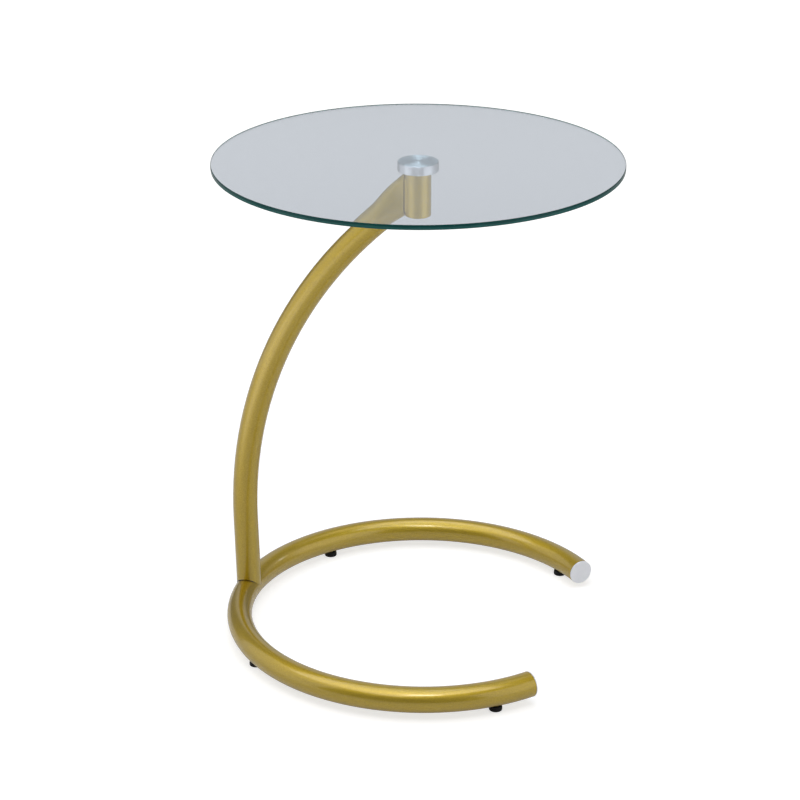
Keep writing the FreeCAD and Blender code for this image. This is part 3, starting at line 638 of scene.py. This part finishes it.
def thread_row(height, length):
    """Cross-section of the thread at a height: its crest moves round by a turn for each pitch."""
    into_chamfer = max(0, (height - (length - STUD_TOP_CHAMFER)) / STUD_TOP_CHAMFER)
    limit = STUD_RADIUS - into_chamfer * STUD_TOP_NARROWING
    row = []
    for i in range(THREAD_SEGMENTS):
        phase = (height / THREAD_PITCH - i / THREAD_SEGMENTS) % 1
        # Two slopes, cut off flat at the crest and at the root
        crest = max(0, min(1, (0.5 - abs(phase - 0.5)) * THREAD_SLOPE - THREAD_FLAT_ROOT))
        reach = min(STUD_RADIUS - THREAD_DEPTH + THREAD_DEPTH * crest, limit)
        turn = tau * i / THREAD_SEGMENTS
        row.append((reach * cos(turn), reach * sin(turn), height))
    return row


def make_foot_stud(position):
    """Stud with a flat head and a helical thread."""
    low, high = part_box(f"foot_stud_{position}")
    centre = (low + high) / 2
    length = high.z - low.z
    head = rounded([(0, 0), (HEAD_RADIUS, 0, 0.3 * MM), (HEAD_RADIUS, HEAD_HEIGHT, 0.3 * MM),
                    (STUD_RADIUS - THREAD_DEPTH, HEAD_HEIGHT)], 3)
    points, faces = turned(head, THREAD_SEGMENTS)
    neck = len(points) - THREAD_SEGMENTS
    thread_low = HEAD_HEIGHT + 0.3 * MM
    rows = ceil((length - thread_low) / THREAD_PITCH * THREAD_STEPS)
    for row in range(rows + 1):
        points += thread_row(thread_low + (length - thread_low) * row / rows, length)
    for lower in range(neck, len(points) - THREAD_SEGMENTS, THREAD_SEGMENTS):
        upper = lower + THREAD_SEGMENTS
        for i in range(THREAD_SEGMENTS):
            j = (i + 1) % THREAD_SEGMENTS
            faces.append([lower + i, lower + j, upper + j, upper + i])
    faces.append(list(range(len(points) - THREAD_SEGMENTS, len(points))))
    add_piece(f"foot_{position}_screw", points, faces, "zinc_steel", f"foot_{position}_stud",
              f"foot_stud_{position}", Matrix.Translation((centre.x, centre.y, low.z)))


# ---- Studio ----

FLOOR_RADIUS = 12
FLOOR_SIDES = 64


def floor_material():
    """White floor that keeps a faint shadow. Camera, mirrors and glass each see their own glow."""
    material = bpy.data.materials.new("studio_floor")
    material.use_nodes = True
    floor = NodeTree(material.node_tree)
    floor.tree.nodes.clear()
    place = floor.coordinates()
    distance = floor.vector_math("LENGTH", place)
    path = floor.node("ShaderNodeLightPath").outputs

    # Mirrors see it bright to the left and right of the camera, and dim below the camera and behind
    to_camera = Vector((CAMERA_PLACE.x, CAMERA_PLACE.y, 0)).normalized()
    facing = floor.vector_math("DOT_PRODUCT", floor.vector_math("NORMALIZE", place), to_camera)
    in_front = floor.smooth_ramp(facing, 0.0, 0.3, 0.0, 1.0)
    beside = floor.smooth_ramp(facing, 0.72, 0.95, 1.0, 0.0)
    lit_sides = floor.choose(floor.math("MULTIPLY", in_front, beside), 0.3, 1.1)
    outside = floor.smooth_ramp(distance, 0.5, 1.2, 0.0, 1.0)
    mirrored = floor.choose(path["Is Glossy Ray"], 0.0, floor.choose(outside, 0.2, lit_sides))

    through_glass = floor.smooth_ramp(distance, 0.45, 2.4, 0.22, 0.56)
    to_the_eye = floor.smooth_ramp(distance, 0.45, 2.4, 0.68, 1.0)
    glow = floor.choose(path["Is Transmission Ray"], mirrored, through_glass)
    glow = floor.choose(path["Is Camera Ray"], glow, to_the_eye)

    diffuse = floor.node("ShaderNodeBsdfDiffuse", Color=(0.5, 0.5, 0.5)).outputs["BSDF"]
    emission = floor.node("ShaderNodeEmission", Strength=glow).outputs["Emission"]
    both = floor.node("ShaderNodeAddShader")
    floor.set(both, 0, diffuse)
    floor.set(both, 1, emission)
    floor.node("ShaderNodeOutputMaterial", Surface=both.outputs["Shader"])
    return material


def make_floor():
    """A round floor that stays under whichever foot is screwed out the furthest."""
    mesh = bpy.data.meshes.new("studio_floor")
    mesh.from_pydata(circle(FLOOR_RADIUS, 0, FLOOR_SIDES), [], [list(range(FLOOR_SIDES))])
    mesh.materials.append(floor_material())
    floor = bpy.data.objects.new("studio_floor", mesh)
    bpy.context.scene.collection.objects.link(floor)
    for position in FOOT_POSITIONS:
        under = floor.constraints.new("FLOOR")
        under.target = frame["bodies"][f"foot_{position}_pad"]
        under.floor_location = "FLOOR_NEGATIVE_Z"


def make_world():
    """White backdrop. Mirrors see a dim studio, and one pale screen that the glass mirrors."""
    world = bpy.data.worlds.new("studio")
    bpy.context.scene.world = world
    world.use_nodes = True
    studio = NodeTree(world.node_tree)
    direction = studio.coordinates("Generated")
    path = studio.node("ShaderNodeLightPath").outputs
    mirrored_view = (CAMERA_FORWARD.x, CAMERA_FORWARD.y, -CAMERA_FORWARD.z)
    towards = studio.vector_math("DOT_PRODUCT", direction, mirrored_view)
    screen = studio.smooth_ramp(towards, 0.90, 0.975, 0.2, 0.62)
    near_horizon = studio.smooth_ramp(studio.height(direction), 0.02, 0.12, 1.0, 0.0)
    through_glass = studio.choose(near_horizon, screen, 0.73)
    level = studio.choose(path["Is Glossy Ray"], 0.12, screen)
    level = studio.choose(path["Is Transmission Ray"], level, through_glass)
    level = studio.choose(path["Is Camera Ray"], level, 1.0)
    background = world.node_tree.nodes["Background"]
    studio.set(background, "Color", (1, 1, 1))
    studio.set(background, "Strength", level)


LAMP_DISTANCE = 2.2
LAMP_AIM = Vector((0, 0, 0.3))

# Name: azimuth (0 is -Y, 90 is +X) and elevation, width and height, all in degrees as the table
# sees them, and radiance, where a white card in full light has 1
LAMPS = {
    "box_left": (-72, 21, 64, 54, 0.7),
    "box_right": (80, 17, 66, 46, 0.8),
    "box_right_back": (130, 20, 34, 44, 0.25),
    "box_glint": (132, 22.5, 5, 5, 8.0),
    "box_ceiling": (-40, 78, 64, 64, 1.7),
    "box_top_right": (65, 62, 34, 24, 0.25),
    "box_top_back": (180, 62, 40, 24, 0.45),
    "box_front_high": (10, 42, 50, 14, 0.2),
    "box_front": (15.4, 58, 14, 10, 7.5),
}
LAMP_DISTANCES = {"box_front": 2.0}


def make_lamp(name, azimuth, elevation, width, height, radiance):
    distance = LAMP_DISTANCES.get(name, LAMP_DISTANCE)
    turn, rise = radians(azimuth), radians(elevation)
    towards = Vector((sin(turn) * cos(rise), -cos(turn) * cos(rise), sin(rise)))
    lamp = bpy.data.lights.new(name, "AREA")
    lamp.shape = "RECTANGLE"
    lamp.size = 2 * distance * tan(radians(width / 2))
    lamp.size_y = 2 * distance * tan(radians(height / 2))
    lamp.energy = radiance * pi * lamp.size * lamp.size_y
    holder = bpy.data.objects.new(name, lamp)
    holder.location = LAMP_AIM + towards * distance
    holder.rotation_mode = "QUATERNION"
    holder.rotation_quaternion = towards.to_track_quat("Z", "Y")
    holder.visible_camera = False
    bpy.context.scene.collection.objects.link(holder)


def keep_off(lamp, piece):
    """Leave this piece out of what the lamp lights, so that it doesn't mirror the lamp either."""
    unlit = bpy.data.collections.new(f"{lamp.name}_unlit")
    unlit.objects.link(piece)
    unlit.collection_objects[0].light_linking.link_state = "EXCLUDE"
    lamp.light_linking.receiver_collection = unlit


def make_camera():
    data = bpy.data.cameras.new("camera")
    data.sensor_width = SENSOR_WIDTH
    data.lens = FOCAL_PIXELS / FRAME_PIXELS * SENSOR_WIDTH
    camera = bpy.data.objects.new("camera", data)
    camera.location = CAMERA_PLACE
    camera.rotation_mode = "QUATERNION"
    camera.rotation_quaternion = CAMERA_FORWARD.to_track_quat("-Z", "Y")
    bpy.context.scene.collection.objects.link(camera)
    bpy.context.scene.camera = camera


finish_cad_nodes()
make_glass()
make_bond()
make_disc()
make_hub()
make_plug()
make_weld("weld_bead_left", "hub_weld_left", 1)
make_weld("weld_bead_right", "hub_weld_right", -1)
make_cap("cap_left", "end_cap_left", 1)
make_cap("cap_right", "end_cap_right", -1)
for foot_position in FOOT_POSITIONS:
    make_foot_pad(foot_position)
    make_foot_stud(foot_position)
make_floor()
make_world()
for lamp_name, lamp_values in LAMPS.items():
    make_lamp(lamp_name, *lamp_values)
keep_off(bpy.data.objects["box_glint"], bpy.data.objects["glass_pane"])
make_camera()
bpy.context.scene.view_settings.view_transform = "Standard"
